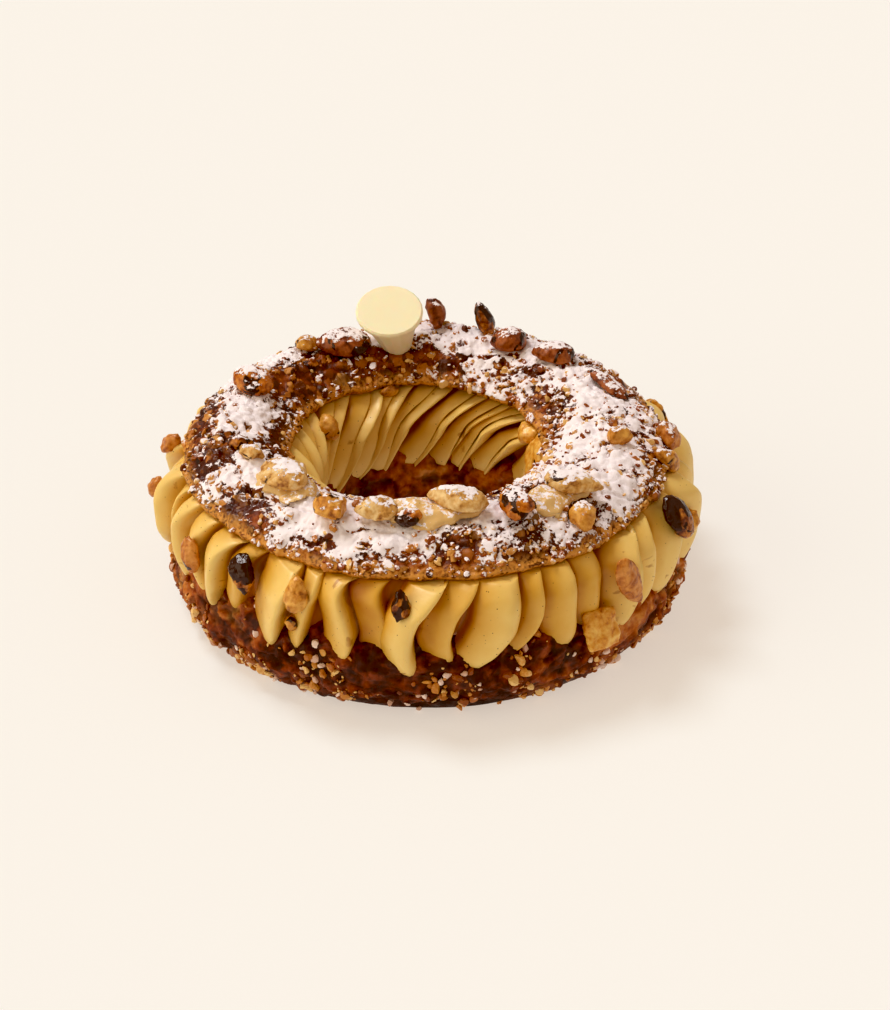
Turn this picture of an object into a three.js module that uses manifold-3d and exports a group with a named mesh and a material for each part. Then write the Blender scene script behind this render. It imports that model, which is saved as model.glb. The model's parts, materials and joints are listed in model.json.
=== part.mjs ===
// Paris-Brest: a ring of choux pastry cut in two, filled with a rope of piped praline cream.
// The lid is strewn with roasted nuts, and a white chocolate disc stands on its back edge.
//
// Units are millimetres, +Z up. The pastry stands on Z = 0. X is its left-right axis as it is
// presented, and -Y is its front. Around the ring, angles are counter-clockwise from +X.
import * as THREE from "three";
import { mergeVertices } from "three/addons/utils/BufferGeometryUtils.js";
import Module from "manifold-3d";

// Driving dimensions
const RING_RADIUS = 64; // from the axis to the middle of the choux
const CLEARANCE = 0.35; // kept between two pieces that touch
const RING_STEPS = 44; // facets around the choux pieces

const BASE = { halfWidth: 27, equator: 15, rise: 24, bottomDrop: 17.5, cut: 34 };

const LID = {
  underside: 51,
  outerRadius: 84,
  holeRadius: 42.9,
  shift: -0.6, // of the outer edge's centre along X
  holeShift: -4.4, // of the hole's centre along X
  holeBack: 1.7, // and along Y
  rim: 1.8, // thickness at the edges
  dome: 11, // height of the dome above the rim
  slope: 0.02, // the back lies a little higher than the front
};

const CREAM = {
  middleRadius: 64.5,
  middle: 38.5, // height of the widest part
  loops: 22, // turns of the piping bag around the ring
  halfWidth: 22.5, // at the valleys
  ridge: 6.6, // how far a ridge stands out sideways
  rise: 14.5,
  drop: 11.5,
  tongue: 8, // how much lower a ridge hangs than a valley
  valleyTip: 34, // angle around the choux where a valley ends on it
  ridgeTip: 10, // and where a ridge ends
  seam: 64, // and where the cream first touches it
  gap: 0.8, // between the cream and the choux
  tipGap: 1.5, // and at the edge of the cream, where long facets bridge the choux
  boxiness: 0.8, // exponent of the section's superellipse
};

// One loop of the star nozzle leaves a high ridge and a lower one: [place in the loop, height].
const LOOP_PROFILE = [
  [0.0, 0.06],
  [0.42, 1.0],
  [0.56, 0.1],
  [0.88, 0.66],
];
const LOOPS_PER_TURN = 3; // a strand moves on by three loops on its way around the tube
const SWING = 0.1; // radians by which a strand slants more on the inner wall, and less outside

const TAU = 2 * Math.PI;
const wasm = await Module();
wasm.setup();

// ---------------------------------------------------------------- small helpers

const radians = THREE.MathUtils.degToRad;
const signedPower = (x, p) => Math.sign(x) * Math.abs(x) ** p;

// Gentle lumps between -1 and 1 that close on themselves around both u and v.
function lumps(u, v, seed) {
  const sum =
    Math.sin(3 * u + 2 * v + seed) +
    Math.sin(7 * u - 3 * v + 2.1 * seed) +
    0.7 * Math.sin(13 * u + 4 * v + 3.3 * seed) +
    0.5 * Math.sin(21 * u - 5 * v + seed);
  return sum / 3.2;
}

// A closed mesh as a manifold solid, whose shared vertices are merged.
function solidFrom(geometry) {
  geometry.deleteAttribute("normal");
  geometry.deleteAttribute("uv");
  const merged = mergeVertices(geometry, 1e-4);
  return new wasm.Manifold(
    new wasm.Mesh({
      numProp: 3,
      vertProperties: new Float32Array(merged.attributes.position.array),
      triVerts: new Uint32Array(merged.index.array),
    }),
  );
}

function geometryFrom(solid) {
  const mesh = solid.getMesh();
  const geometry = new THREE.BufferGeometry();
  geometry.setAttribute("position", new THREE.BufferAttribute(mesh.vertProperties, 3));
  geometry.setIndex(new THREE.BufferAttribute(mesh.triVerts, 1));
  geometry.computeVertexNormals();
  return geometry;
}

const largestBody = (solid) => solid.decompose().sort((a, b) => b.volume() - a.volume())[0];

// A surface closed both ways: around the ring by us, and around the tube by vs.
// twist is how many us-steps the grid has moved on after once around the tube.
// Each quad is folded along its shorter diagonal.
function ringSurface(us, vs, pointAt, twist = 0) {
  const points = vs.flatMap((v) => us.map((u) => new THREE.Vector3(...pointAt(u, v))));
  const vertex = (i, j) => {
    const moved = j === vs.length ? i + twist : i;
    return (j % vs.length) * us.length + (moved % us.length);
  };
  const index = [];
  for (let j = 0; j < vs.length; j++)
    for (let i = 0; i < us.length; i++) {
      const [a, b] = [vertex(i, j), vertex(i + 1, j)];
      const [c, d] = [vertex(i + 1, j + 1), vertex(i, j + 1)];
      const shorter = points[a].distanceTo(points[c]) < points[b].distanceTo(points[d]);
      index.push(...(shorter ? [a, b, c, a, c, d] : [a, b, d, b, c, d]));
    }
  return new THREE.BufferGeometry().setFromPoints(points).setIndex(index);
}

const evenly = (count, from = 0) => Array.from({ length: count }, (_, i) => from + (i * TAU) / count);

// ---------------------------------------------------------------- choux base

// A fat, lumpy ring with a flat underside, sliced level at the top.
function basePoint(u, v, grow = 0) {
  const swell = 1 + 0.022 * lumps(u, v, 1.3);
  const roundness = Math.sin(v) < 0 ? 0.85 : 1;
  const across = (BASE.halfWidth * swell + grow) * signedPower(Math.cos(v), roundness);
  const height = (Math.sin(v) < 0 ? BASE.bottomDrop : BASE.rise) + grow;
  const z = BASE.equator + height * signedPower(Math.sin(v), roundness);
  const r = RING_RADIUS + across;
  return [r * Math.cos(u), r * Math.sin(u), THREE.MathUtils.clamp(z, -grow, BASE.cut + grow)];
}

const BASE_SECTION = [
  -142, -130, -120, -60, -50, -38, -18, 0, 20, 42, 64, 116, 138, 160, 180, 198,
].map(radians);
const baseSurface = (grow) =>
  ringSurface(evenly(RING_STEPS), BASE_SECTION, (u, v) => basePoint(u, v, grow));

// ---------------------------------------------------------------- choux lid

// across runs from 0 at the outer edge to 1 at the edge of the hole.
function lidPoint(u, across, height, grow = 0) {
  const outer = LID.outerRadius * (1 + 0.012 * lumps(u, 0, 4)) + grow;
  const hole = LID.holeRadius * (1 + 0.03 * lumps(u, 1, 6)) - grow;
  const x = THREE.MathUtils.lerp(
    LID.shift + outer * Math.cos(u),
    LID.holeShift + hole * Math.cos(u),
    across,
  );
  const y = THREE.MathUtils.lerp(outer * Math.sin(u), LID.holeBack + hole * Math.sin(u), across);
  return [x, y, LID.underside + LID.slope * y + height];
}

function lidTop(u, across) {
  const dome = LID.dome * Math.sin(Math.PI * across) ** 0.8;
  return lidPoint(u, across, LID.rim + dome * (1 + 0.12 * lumps(u, 3 * across, 9)));
}

// The section runs over the dome from the outer edge to the hole, then back along the underside.
const LID_SECTION = [0.0, 0.07, 0.24, 0.5, 0.76, 0.93, 1.0, -0.96, -0.04];
function lidSurface(grow) {
  return ringSurface(evenly(RING_STEPS), LID_SECTION, (u, place) => {
    if (place < 0) return lidPoint(u, -place, -grow, grow);
    const top = lidTop(u, place);
    return lidPoint(u, place, top[2] - lidPoint(u, place, 0)[2] + grow, grow);
  });
}

// ---------------------------------------------------------------- praline cream

// How far a strand has turned around the ring when it is at v around the tube.
const slant = (v) => (LOOPS_PER_TURN / CREAM.loops) * v - SWING * Math.sin(v);

// No two loops are piped quite alike.
const loopSize = (loop) => 1 + 0.16 * Math.sin(2.4 * loop) + 0.1 * Math.sin(5.1 * loop + 1);
const loopDrift = (loop) => 0.05 * Math.sin(1.7 * loop + 0.5);

// A point of the cream's free surface: its two walls, and its top pressed level by the lid.
function creamPoint(angle, v, ridge, grow = 0) {
  const halfWidth = CREAM.halfWidth + CREAM.ridge * ridge + grow;
  const reach = Math.sin(v) < 0 ? CREAM.drop + CREAM.tongue * ridge : CREAM.rise;
  const r = CREAM.middleRadius + halfWidth * signedPower(Math.cos(v), CREAM.boxiness);
  const [x, y] = [r * Math.cos(angle), r * Math.sin(angle)];
  const z = CREAM.middle + (reach + grow) * signedPower(Math.sin(v), CREAM.boxiness);
  return [x, y, Math.min(z, LID.underside + LID.slope * y - CLEARANCE + grow)];
}

// Around the cream's section: v in degrees, and onBase for the points that lie on the choux, which
// is 0 high on it and 1 at the cream's tips. How far a tip hangs down depends on the ridge.
const CREAM_SECTION = [
  { v: -80, onBase: 0 },
  { v: -70, onBase: 0.4 },
  { v: -61, onBase: 0.75 },
  { v: -52, onBase: 1 },
  ...[-28, 2, 45, 135, 178, 208].map((v) => ({ v })),
  { v: 232, onBase: 1 },
  { v: 241, onBase: 0.75 },
  { v: 250, onBase: 0.4 },
  { v: 260, onBase: 0 },
];

function creamSectionPoint({ loop, place, height }, { v, onBase }, grow) {
  const ridge = height * loopSize(loop);
  const around = radians(v);
  const angle = ((loop + place + loopDrift(loop)) / CREAM.loops) * TAU + slant(around);
  if (onBase === undefined) return creamPoint(angle, around, ridge, grow);
  // A grown tip reaches further down, by four degrees for each millimetre.
  const tip = CREAM.valleyTip - (CREAM.valleyTip - CREAM.ridgeTip) * ridge - 4 * grow;
  const onOuter = THREE.MathUtils.lerp(CREAM.seam, tip, onBase);
  const gap = onBase === 1 ? CREAM.tipGap : CREAM.gap;
  return basePoint(angle, radians(v > 90 ? 180 - onOuter : onOuter), gap - grow);
}

function creamSurface(grow) {
  const strands = Array.from({ length: CREAM.loops }, (_, loop) =>
    LOOP_PROFILE.map(([place, height]) => ({ loop, place, height })),
  ).flat();
  return ringSurface(
    strands,
    CREAM_SECTION,
    (strand, at) => creamSectionPoint(strand, at, grow),
    LOOPS_PER_TURN * LOOP_PROFILE.length,
  );
}

// ---------------------------------------------------------------- places on a surface

// A surface by two coordinates: the angle around the ring in degrees, and a second one that is
// 0 to 1 across the lid, or degrees around the tube of the cream or the base.
const SURFACES = {
  lid: (angle, across) => lidTop(radians(angle), across),
  cream: (angle, around) => creamPoint(radians(angle), radians(around), 0.5),
  base: (angle, around) => basePoint(radians(angle), radians(around)),
};

// The frame there: X along the ring, Z out of the surface.
function frameOn(surface, angle, second) {
  const at = (a, s) => new THREE.Vector3(...SURFACES[surface](a, s));
  const here = at(angle, second);
  const step = surface === "lid" ? -0.02 : 2;
  const along = at(angle + 1, second).sub(here);
  const up = at(angle, second + step).sub(here);
  const normal = along.clone().cross(up).normalize();
  along.projectOnPlane(normal).normalize();
  const across = normal.clone().cross(along);
  const matrix = new THREE.Matrix4().makeBasis(along, across, normal);
  // Towards the axis the second coordinate of the lid grows, so its frame may point down.
  if (surface === "lid" && normal.z < 0) matrix.makeBasis(along, across.negate(), normal.negate());
  return matrix.setPosition(here);
}

// ---------------------------------------------------------------- nuts

// A unit ball's point becomes a point of the nut, whose length runs along X.
const NUT_SHAPES = {
  // A split almond: pointed at one end, domed above, nearly flat below.
  almond: ([x, y, z]) => {
    const taper = 1 - 0.38 * x - 0.2 * x * x;
    return [x, y * taper, z < 0 ? z * 0.45 : z * (0.9 + 0.1 * taper)];
  },
  // A hazelnut or half of one: round, with a blunt tip.
  hazelnut: ([x, y, z]) => [x + 0.08 * Math.max(0, x) ** 4, y, z < 0 ? z * 0.6 : z],
  // A broken piece, with corners.
  chunk: ([x, y, z], seed) => {
    const corner = 1 + 0.2 * Math.sin(5 * x + 7 * y + 9 * z + seed) * Math.cos(8 * y - 4 * x + 2 * seed);
    return [x * corner, y * corner, z * (2 - corner)];
  },
  // A flat flake.
  flake: ([x, y, z], seed) => {
    const edge = 1 + 0.16 * Math.sin(4 * Math.atan2(y, x) + seed);
    return [x * edge, y * edge, z + 0.35 * x * x - 0.2 * y];
  },
};

// How many flat broken faces each kind has, and how deep they cut into a unit ball.
const BROKEN_FACES = { almond: [2, 0.25], hazelnut: [3, 0.28], chunk: [7, 0.36], flake: [3, 0.2] };

const FLATNESS = 0.93; // of the broken faces, which bulge a little

// Directions spread evenly over a ball, turned differently for each seed.
function brokenFaces(kind, seed) {
  const [count, depth] = BROKEN_FACES[kind];
  return Array.from({ length: count }, (_, i) => {
    const z = 1 - (2 * i + 1) / count;
    const angle = 2.4 * i + 1.7 * seed;
    const across = Math.sqrt(1 - z * z);
    const normal = new THREE.Vector3(across * Math.cos(angle), across * Math.sin(angle), z);
    return new THREE.Plane(normal, -(1 - depth * (0.7 + 0.3 * Math.sin(seed + 3 * i))));
  });
}

function nutSolid({ kind, on, at, size, spin = 0, tip = 0, lift = 0 }, seed, grow = 0) {
  const ball = new THREE.IcosahedronGeometry(1, 1);
  const position = ball.attributes.position;
  const half = size.map((length) => length / 2 + grow);
  const faces = brokenFaces(kind, seed);
  for (let i = 0; i < position.count; i++) {
    const point = new THREE.Vector3().fromBufferAttribute(position, i);
    for (const face of faces) {
      const beyond = Math.max(0, face.distanceToPoint(point));
      point.addScaledVector(face.normal, -FLATNESS * beyond);
    }
    const shaped = NUT_SHAPES[kind](point.toArray(), seed);
    position.setXYZ(i, ...shaped.map((value, axis) => value * half[axis]));
  }
  const turn = new THREE.Matrix4().makeRotationZ(radians(spin));
  const raise = new THREE.Matrix4().makeRotationY(-radians(tip));
  const place = frameOn(on, ...at).multiply(new THREE.Matrix4().makeTranslation(0, 0, lift));
  return solidFrom(ball.applyMatrix4(place.multiply(turn).multiply(raise)));
}

// Name, kind, surface, where on it, and size: length, width, thickness. Then how it lies: spin is
// its turn about the surface's normal, tip is how far its nose points up, and lift is the height
// of its centre above the surface.
const NUTS = [
  // lid, back
  ["almond_back_left", "almond", "lid", [119.5, 0.64], [22, 15, 10], { spin: -18, lift: 3 }],
  ["hazelnut_back_left", "hazelnut", "lid", [129, 0.45], [9, 9, 8], { lift: 2.4 }],
  ["almond_standing", "almond", "lid", [86, 0.38], [13, 10, 9], { tip: 75, lift: 5.5 }],
  ["hazelnut_burnt_back", "hazelnut", "lid", [72, 0.38], [14, 10, 8], { tip: 62, lift: 5 }],
  ["hazelnut_back_middle", "hazelnut", "lid", [58, 0.56], [14, 13, 11], { spin: 30, lift: 3.6 }],
  ["hazelnut_back_right", "almond", "lid", [42, 0.5], [16, 12, 9], { spin: 40, lift: 3 }],
  ["almond_edge_right", "almond", "lid", [21, 0.32], [20, 9, 5.5], { spin: 28, lift: 2.2 }],
  // lid, left
  ["hazelnut_caramel_left", "hazelnut", "lid", [160, 0.54], [17, 13, 10], { spin: 60, lift: 2.8 }],
  ["chunk_burnt_left", "chunk", "lid", [198, 0.52], [10, 8, 8], { spin: 70, lift: 2.2 }],
  ["chunk_pale_left", "chunk", "lid", [206, 0.54], [10, 8, 7], { spin: 20, lift: 2.2 }],
  // lid, front
  ["almond_front_left", "hazelnut", "lid", [225, 0.55], [20, 15, 9.5], { spin: 4, lift: 4.6 }],
  ["chunk_front_left", "chunk", "lid", [245.5, 0.4], [15, 12, 9], { spin: -40, lift: 3.2 }],
  ["almond_pale_front", "almond", "lid", [258, 0.46], [15, 10, 7], { spin: 190, lift: 3.6 }],
  ["chunk_caramel_front", "chunk", "lid", [267, 0.4], [10, 8, 6], { spin: 10, lift: 2.8 }],
  ["almond_front", "almond", "lid", [281.5, 0.55], [21, 12, 10.5], { spin: 158, lift: 5.2 }],
  ["chunk_caramel_front_right", "chunk", "lid", [297, 0.38], [16, 12, 10], { spin: 80, lift: 3.4 }],
  ["almond_front_right", "almond", "lid", [316.5, 0.39], [20, 11, 8], { spin: -55, lift: 4.2 }],
  ["chunk_sugared_front", "chunk", "lid", [311.5, 0.17], [14, 10, 8], { spin: 50, lift: 1.8 }],
  // lid, right
  ["chunk_right", "chunk", "lid", [348, 0.39], [10, 8, 7], { spin: 120, lift: 2.4 }],
  ["chunk_edge_right", "chunk", "lid", [1, 0.03], [12, 10, 9], { spin: 30, lift: 2.4 }],
  ["hazelnut_edge_right", "hazelnut", "lid", [351.5, 0.03], [12, 8, 7], { spin: 110, lift: 1.8 }],
  // cream, in the hole
  ["chunk_hole_upper", "chunk", "cream", [25, 150], [14, 12, 9], { spin: 20, lift: 1.8 }],
  ["flake_hole", "flake", "cream", [9, 160], [15, 15, 4.5], { spin: 40, lift: 2.4 }],
  ["hazelnut_hole_left", "hazelnut", "cream", [148, 146], [11, 8, 7], { spin: 75, lift: 2.2 }],
  ["chunk_hole_back", "chunk", "cream", [108, 128], [8, 6, 6], { lift: 1.4 }],
  // cream, outside
  ["chunk_left_upper", "chunk", "cream", [173, 26], [12, 9, 7], { spin: 60, lift: 2.8 }],
  ["hazelnut_left", "hazelnut", "cream", [186, 8], [9, 7, 7], { spin: 80, lift: 3.2 }],
  ["hazelnut_left_front", "hazelnut", "cream", [212, -1], [14, 9, 7.5], { spin: 94, lift: 2.6 }],
  ["chunk_burnt_left_front", "chunk", "cream", [228, 16], [14, 10, 8], { spin: 120, lift: 2.6 }],
  ["almond_golden_front", "almond", "cream", [243, 16], [13, 9, 6], { spin: 98, lift: 2.6 }],
  ["chunk_golden_front", "chunk", "cream", [241, -14], [8, 6, 5], { spin: 30, lift: 2.6 }],
  ["chunk_burnt_middle", "chunk", "cream", [265, 19], [12, 6.5, 5.5], { spin: 96, lift: 2.2 }],
  ["almond_right_front", "almond", "cream", [315, 1], [23, 10, 6.5], { spin: -62, lift: 2.6 }],
  ["flake_right_front", "flake", "base", [308.5, 20], [16, 15, 5], { spin: 40, lift: 3.6 }],
  ["hazelnut_burnt_right", "hazelnut", "cream", [336, 22], [17, 12, 9], { spin: 100, lift: 2.6 }],
  ["chunk_right_side", "chunk", "cream", [345, -4], [10, 8, 8], { spin: 80, lift: 3 }],
  // cream, back
  ["almond_back", "almond", "cream", [62, 4], [20, 10, 6.5], { spin: 70, lift: 2.6 }],
  ["chunk_back", "chunk", "cream", [96, 14], [11, 8, 7], { spin: 20, lift: 2.4 }],
  ["hazelnut_back", "hazelnut", "cream", [128, 2], [14, 10, 8], { spin: 100, lift: 2.6 }],
  ["flake_back_right", "flake", "cream", [28, 8], [13, 12, 4.5], { spin: 10, lift: 3 }],
].map(([name, kind, on, at, size, pose]) => ({ name, kind, on, at, size, ...pose }));

// ---------------------------------------------------------------- dabs and disc

// Smears of cream that hold nuts on the lid: [middle angle, half length in degrees], where across
// the lid, how wide and how thick.
const DABS = [
  { name: "cream_dab_left", arc: [225, 12], across: [0.56, 0.24], thickness: 3.8 },
  { name: "cream_dab_front", arc: [272, 19], across: [0.5, 0.15], thickness: 4 },
  { name: "cream_dab_right", arc: [312, 12], across: [0.4, 0.15], thickness: 3.6 },
];

function dabSolid({ arc, across, thickness }, grow = 0) {
  const ball = new THREE.IcosahedronGeometry(1, 1);
  const position = ball.attributes.position;
  const growAngle = THREE.MathUtils.radToDeg(grow / RING_RADIUS);
  const growAcross = grow / (LID.outerRadius - LID.holeRadius);
  for (let i = 0; i < position.count; i++) {
    const [x, y, z] = new THREE.Vector3().fromBufferAttribute(position, i).toArray();
    const waist = 1 + 0.25 * Math.sin(4 * x + arc[0]);
    const angle = arc[0] + x * (arc[1] + growAngle);
    const place = lidTop(radians(angle), across[0] + y * (across[1] * waist + growAcross));
    position.setXYZ(i, place[0], place[1], place[2] + z * (thickness + grow));
  }
  return solidFrom(ball);
}

const DISC = { at: [101, 0.66], radius: 12.1, thickness: 2.2, height: 14, tilt: 23 };
// lean: how far the foot moves right and forwards for each millimetre down.
const DISC_FOOT = { topRadius: 10.4, footRadius: 3.6, lean: [0.22, 0.4] };

// The disc lies on its foot, tilted towards the front.
function discParts() {
  const [x, y, z] = lidTop(radians(DISC.at[0]), DISC.at[1]);
  const edge = DISC.thickness * 0.28;
  const profile = [
    [0, 0],
    [DISC.radius - edge, 0],
    [DISC.radius, edge],
    [DISC.radius, DISC.thickness - edge],
    [DISC.radius - edge, DISC.thickness],
    [0, DISC.thickness],
  ].map(([r, h]) => new THREE.Vector2(r, h));
  const stand = (geometry) =>
    geometry
      .rotateX(Math.PI / 2)
      .applyMatrix4(new THREE.Matrix4().makeRotationX(radians(DISC.tilt)))
      .translate(x, y, z + DISC.height - DISC.thickness);
  const footHeight = DISC.height + 1;
  const foot = new THREE.CylinderGeometry(DISC_FOOT.topRadius, DISC_FOOT.footRadius, footHeight, 16, 1);
  foot.translate(0, -footHeight / 2 - CLEARANCE, 0);
  const [right, forwards] = DISC_FOOT.lean;
  foot.applyMatrix4(new THREE.Matrix4().makeShear(0, 0, -right, -forwards, 0, 0));
  return {
    disc: solidFrom(stand(new THREE.LatheGeometry(profile, 24))),
    foot: solidFrom(stand(foot)),
  };
}

// ---------------------------------------------------------------- assembly

const COLOURS = {
  choux: 0x8a4f22,
  crust: 0xb56a32,
  cream: 0xdcae5c,
  dab: 0xe3cf98,
  nut: 0xc98a3c,
  chocolate: 0xf3ebb4,
};

const pastry = new THREE.Group();
pastry.name = "paris_brest";

// Everything that a nut, a dab or the disc may press into, each with its clearance.
const taken = [];

function addPiece(name, solid, room, colour, roughness = 0.7) {
  const material = new THREE.MeshStandardMaterial({ color: colour, roughness, metalness: 0 });
  const mesh = new THREE.Mesh(geometryFrom(solid), material);
  mesh.name = name;
  pastry.add(mesh);
  taken.push(room);
}

// A piece that rests on others is cut to lie against them.
function addFitted(name, solid, room, colour, roughness) {
  let fitted = solid;
  for (const other of taken) fitted = fitted.subtract(other);
  addPiece(name, largestBody(fitted), room, colour, roughness);
}

function addRing(name, surface, clearance, colour, roughness) {
  const solid = solidFrom(surface(0));
  addPiece(name, solid, solid.add(solidFrom(surface(clearance))), colour, roughness);
}
addRing("choux_base", baseSurface, CLEARANCE, COLOURS.choux);
addRing("choux_lid", lidSurface, CLEARANCE, COLOURS.crust);
// The flanks of the ridges are steep, so the cream's room is wider.
addRing("praline_cream", creamSurface, 2.5 * CLEARANCE, COLOURS.cream, 0.5);

for (const dab of DABS)
  addFitted(dab.name, dabSolid(dab), dabSolid(dab, CLEARANCE), COLOURS.dab, 0.5);

const { disc, foot } = discParts();
addFitted("chocolate_disc", disc, disc.translate([0, 0, -CLEARANCE]), COLOURS.chocolate, 0.4);
addFitted("disc_foot", foot, foot, COLOURS.chocolate, 0.4);

NUTS.forEach((nut, seed) => {
  addFitted(nut.name, nutSolid(nut, seed), nutSolid(nut, seed, CLEARANCE), COLOURS.nut, 0.45);
});

// The origin is the middle of the footprint.
const box = new THREE.Box3().setFromObject(pastry);
pastry.position.set(-(box.min.x + box.max.x) / 2, -(box.min.y + box.max.y) / 2, 0);

export default pastry;
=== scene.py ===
"""Looks of the Paris-Brest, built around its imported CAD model. Blender 4.5.

Shapes are worked out in millimetres about the ring's axis, +Z up, and -Y is the front. Around the
ring, angles are counter-clockwise from +X. Meshes are placed in metres, in the frame of the model.
"""
import json
import math

import bmesh
import bpy
import numpy as np
from mathutils import Matrix, Vector
from mathutils.bvhtree import BVHTree


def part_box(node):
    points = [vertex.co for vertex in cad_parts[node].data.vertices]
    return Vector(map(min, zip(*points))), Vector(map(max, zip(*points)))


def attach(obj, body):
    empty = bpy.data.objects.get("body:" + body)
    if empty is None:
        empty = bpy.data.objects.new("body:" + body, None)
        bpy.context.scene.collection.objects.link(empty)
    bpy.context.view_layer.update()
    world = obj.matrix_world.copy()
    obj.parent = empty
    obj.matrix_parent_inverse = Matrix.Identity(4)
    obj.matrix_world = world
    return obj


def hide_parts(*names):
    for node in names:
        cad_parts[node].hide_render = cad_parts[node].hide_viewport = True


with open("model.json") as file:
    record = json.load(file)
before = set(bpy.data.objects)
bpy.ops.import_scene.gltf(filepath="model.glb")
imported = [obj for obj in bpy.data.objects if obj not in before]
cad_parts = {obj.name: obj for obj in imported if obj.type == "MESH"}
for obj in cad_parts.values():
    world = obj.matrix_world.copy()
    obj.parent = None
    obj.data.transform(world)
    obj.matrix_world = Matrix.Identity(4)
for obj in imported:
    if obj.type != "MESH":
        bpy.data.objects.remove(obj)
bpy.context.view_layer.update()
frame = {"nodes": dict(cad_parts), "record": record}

MM = 0.001
TAU = 2 * math.pi
BODY = "root"


def box_mm(node):
    """Lowest and highest corner of a CAD node, in millimetres."""
    low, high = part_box(node)
    return np.array(low) / MM, np.array(high) / MM


# ------------------------------------------------------------------ driving dimensions

BASE_LOW, BASE_HIGH = box_mm("choux_base")

# The ring's axis is in the middle of the choux base.
AXIS = np.array([(BASE_LOW[0] + BASE_HIGH[0]) / 2, (BASE_LOW[1] + BASE_HIGH[1]) / 2, 0.0])

RING_RADIUS = 64.0  # from the axis to the middle of the choux
BASE = dict(
    half_width=27.0,
    equator=15.0,  # height of its widest part
    rise=24.0,  # from there to the top of its section
    drop=17.5,  # and to the bottom
    cut=BASE_HIGH[2],  # height of the flat top that the cream lies on
    swell=0.022,  # share by which the width varies
    boxiness=0.85,  # below 1 the lower half of the section is squarer than a circle
)
LID = dict(
    underside=51.0,
    outer_radius=84.0,
    hole_radius=42.9,
    shift=-0.6,  # of the outer edge, towards +X
    hole_shift=-4.4,  # of the hole, towards +X
    hole_back=1.7,  # of the hole, towards +Y
    rim=1.8,  # thickness at both edges
    dome=11.0,  # how much thicker it is between them
    slope=0.02,  # how steeply it rises towards the back
)
CREAM = dict(
    middle_radius=64.5,
    middle=38.5,  # height of the middle of the rope
    loops=22,
    half_width=21.4,  # to the bottom of the creases
    ridge=7.8,  # how far a rib stands out of them
    rise=14.5,
    drop=16.5,
    tongue=8.5,  # how much further down a rib hangs
    turns=3,  # loops that a strand passes on its way once around the rope
    swing=0.1,
)

# Fineness of the meshes: steps around the ring, and across half a loop of cream.
BASE_COLUMNS = 760
LID_COLUMNS = 1040
RIB_STEPS = 15
NUT_VOXEL = 0.55


# ------------------------------------------------------------------ noise

_dice = np.random.default_rng(11)
_PERMUTATION = _dice.permutation(256)
_GRADIENTS = _dice.normal(size=(256, 3))
_GRADIENTS /= np.linalg.norm(_GRADIENTS, axis=1)[:, None]
_RANDOM = _dice.uniform(size=(256, 6))
NOISE_GAIN = 1.6  # brings the noise to about -1 to 1


def cell_number(cell):
    """A random number from 0 to 255 for each cell of space; cell is N by 3 whole numbers."""
    x, y, z = (cell & 255).T
    return _PERMUTATION[(_PERMUTATION[(_PERMUTATION[x] + y) & 255] + z) & 255]


def gradient_noise(points):
    """Smooth noise of about -1 to 1, with features one unit wide. points is N by 3."""
    cell = np.floor(points).astype(int)
    inside = points - cell
    fade = inside**3 * (inside * (inside * 6 - 15) + 10)
    total = np.zeros(len(points))
    for corner in np.ndindex(2, 2, 2):
        pick = cell_number(cell + corner)
        weight = np.where(np.array(corner) == 1, fade, 1 - fade).prod(axis=1)
        total += weight * ((inside - corner) * _GRADIENTS[pick]).sum(axis=1)
    return NOISE_GAIN * total


def fractal(points, size, octaves=3, seed=0.0):
    """Noise whose largest features are size mm wide."""
    total = np.zeros(len(points))
    for octave in range(octaves):
        total += gradient_noise(points / size * 2**octave + seed + 7.3 * octave) / 2**octave
    return total


def embedded(points, spacing, share, seed):
    """Rounded lumps set in a surface, about one for each cube of the spacing; share of them exist.

    Returns the height, 0 to 1, and a random tone for the lump that is nearest.
    """
    cell = np.floor(points / spacing).astype(int)
    height = np.zeros(len(points))
    tone = np.full(len(points), -1.0)
    for corner in np.ndindex(3, 3, 3):
        at = cell + corner - 1
        random = _RANDOM[(cell_number(at) + seed) & 255]
        centre = (at + 0.2 + 0.6 * random[:, :3]) * spacing
        radius = spacing * (0.4 + 0.35 * random[:, 3])
        inside = 1 - ((points - centre) ** 2).sum(axis=1) / radius**2
        lump = np.where(random[:, 4] < share, np.sqrt(np.clip(inside, 0, 1)), 0)
        tone = np.where(lump > height, random[:, 5], tone)
        height = np.maximum(height, lump)
    return height, tone


def smoothstep(low, high, x):
    t = np.clip((x - low) / (high - low), 0, 1)
    return t * t * (3 - 2 * t)


def signed_power(x, power):
    return np.sign(x) * np.abs(x) ** power


def lumps(u, v, seed):
    """The CAD model's gentle lumps, between -1 and 1."""
    total = np.sin(3 * u + 2 * v + seed) + np.sin(7 * u - 3 * v + 2.1 * seed)
    total = total + 0.7 * np.sin(13 * u + 4 * v + 3.3 * seed) + 0.5 * np.sin(21 * u - 5 * v + seed)
    return total / 3.2


# ------------------------------------------------------------------ meshes


def mesh_object(name, points, faces, smooth=True):
    """A mesh object from points in mm about the ring's axis."""
    mesh = bpy.data.meshes.new(name)
    mesh.from_pydata(((points + AXIS) * MM).tolist(), [], faces)
    mesh.polygons.foreach_set("use_smooth", [smooth] * len(mesh.polygons))
    mesh.update()
    obj = bpy.data.objects.new(name, mesh)
    bpy.context.scene.collection.objects.link(obj)
    return obj


def points_and_normals(mesh):
    """A mesh's points, in mm in the frame of the model, and its point normals."""
    points = np.zeros(3 * len(mesh.vertices), np.float32)
    normals = np.zeros_like(points)
    mesh.vertices.foreach_get("co", points)
    mesh.vertex_normals.foreach_get("vector", normals)
    return points.reshape(-1, 3) / MM, normals.reshape(-1, 3)


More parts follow.
